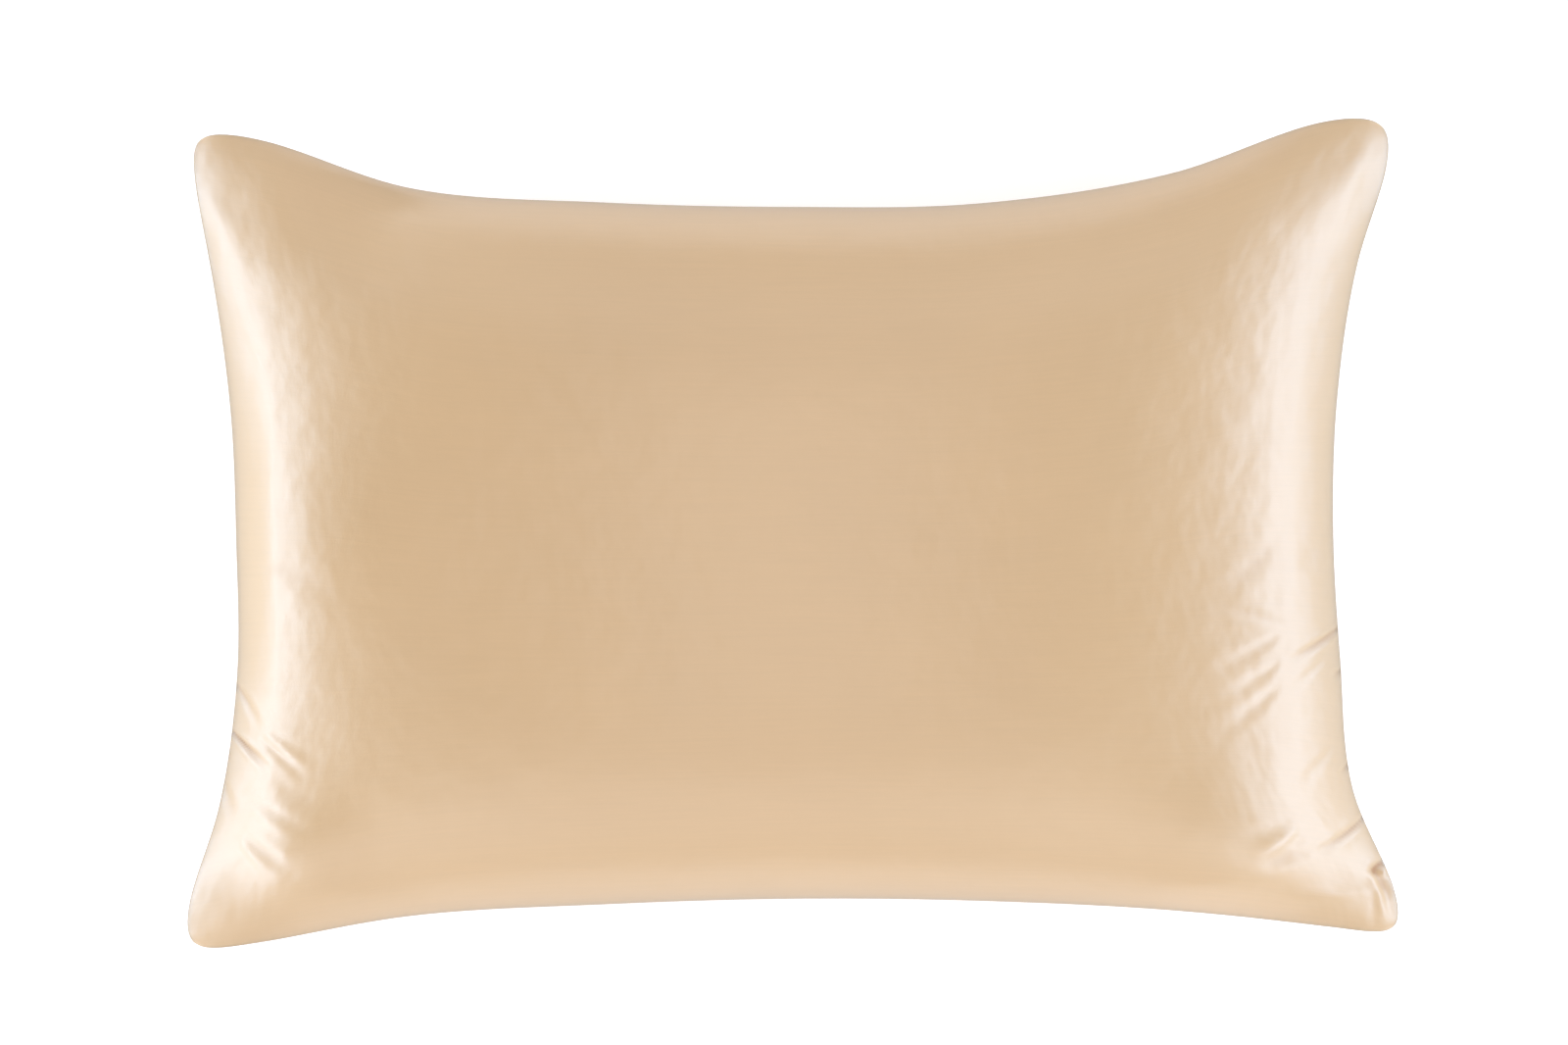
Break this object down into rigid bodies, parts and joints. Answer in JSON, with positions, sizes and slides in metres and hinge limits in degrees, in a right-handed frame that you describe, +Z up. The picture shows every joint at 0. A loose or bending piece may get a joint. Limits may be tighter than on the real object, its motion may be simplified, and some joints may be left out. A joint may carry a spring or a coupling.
{
  "type": "filled pillowcase",
  "caption": "Rectangular filled satin pillowcase lying on its back, with drawn-in sides, a rounded crown, flatter corner ears and soft creases in its face.",
  "frame": {"origin": "under the middle of the outline, on the surface that the cushion lies on", "axes": "+X along the length, +Y along the width towards the upper side of the face, +Z up out of the face"},
  "size_m": [0.7408, 0.508, 0.1637],
  "materials": {
    "champagne_satin": "satin"
  },
  "bodies": {
    "root": {"pillowcase": "champagne_satin"}
  },
  "joints": []
}
